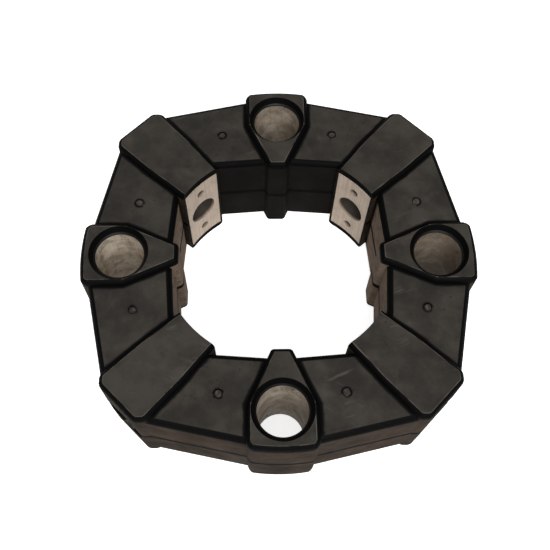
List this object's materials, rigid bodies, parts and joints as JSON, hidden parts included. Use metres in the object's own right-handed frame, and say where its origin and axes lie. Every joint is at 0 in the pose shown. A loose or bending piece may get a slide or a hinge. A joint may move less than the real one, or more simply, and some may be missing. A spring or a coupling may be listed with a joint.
{
  "type": "torsionally flexible coupling element",
  "caption": "Octagonal moulded rubber coupling ring with metal inserts: axial bores for the flange and radial bolt seats for the hub.",
  "frame": {"origin": "centre of the ring on the shaft axis, in the mid-plane of the moulding", "axes": "+Z along the shaft axis, +X through the first axial bore, +Y through the second; the radial inserts lie on the diagonals"},
  "size_m": [0.2052, 0.2052, 0.062],
  "materials": {
    "rubber": "moulded matt black rubber, slightly brown with dust",
    "axial_metal": "machined bore, dull warm grey",
    "radial_metal": "finely turned seat, dull warm grey"
  },
  "bodies": {
    "hub_side": {"rubber_element": "rubber", "radial_insert_1": "radial_metal", "radial_insert_2": "radial_metal", "radial_insert_3": "radial_metal", "radial_insert_4": "radial_metal"},
    "flange_side": {"axial_insert_1": "axial_metal", "axial_insert_2": "axial_metal", "axial_insert_3": "axial_metal", "axial_insert_4": "axial_metal"}
  },
  "joints": [
    {"name": "torsional_wind_up", "type": "hinge", "parent": "hub_side", "child": "flange_side", "pos_m": [0, 0, 0], "axis": [0, 0, 1], "range_deg": [-7.5, 7.5], "stiffness_Nm_per_rad": 8000, "deforming": ["rubber_element"]}
  ]
}
